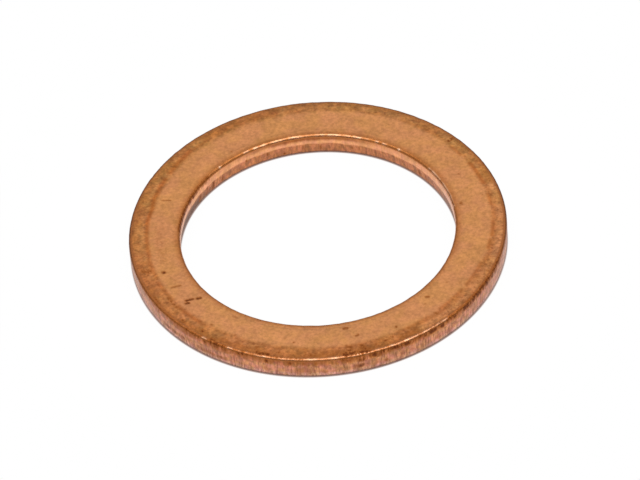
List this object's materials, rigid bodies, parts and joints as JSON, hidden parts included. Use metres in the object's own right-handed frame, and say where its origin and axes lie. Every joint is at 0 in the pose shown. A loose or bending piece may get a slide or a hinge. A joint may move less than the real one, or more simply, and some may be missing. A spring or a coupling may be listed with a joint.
{
  "type": "oil drain plug gasket",
  "caption": "Flat one-piece copper sealing ring with a round hole, squeezed between an oil drain plug's head and the sump to seal the thread.",
  "frame": {"origin": "centre of the hole on the lower sealing face, the one that the ring lies on", "axes": "+Z is the ring's axis, from the flat lower face towards the upper face with the rolled edges; X and Y lie in the plane of the ring and are free, as the ring is round"},
  "size_m": [0.022, 0.022, 0.0014],
  "materials": {
    "copper": "dull rolled faces with brown tarnish, brighter sheared edges"
  },
  "bodies": {
    "root": {"sealing_ring": "copper"}
  },
  "joints": []
}
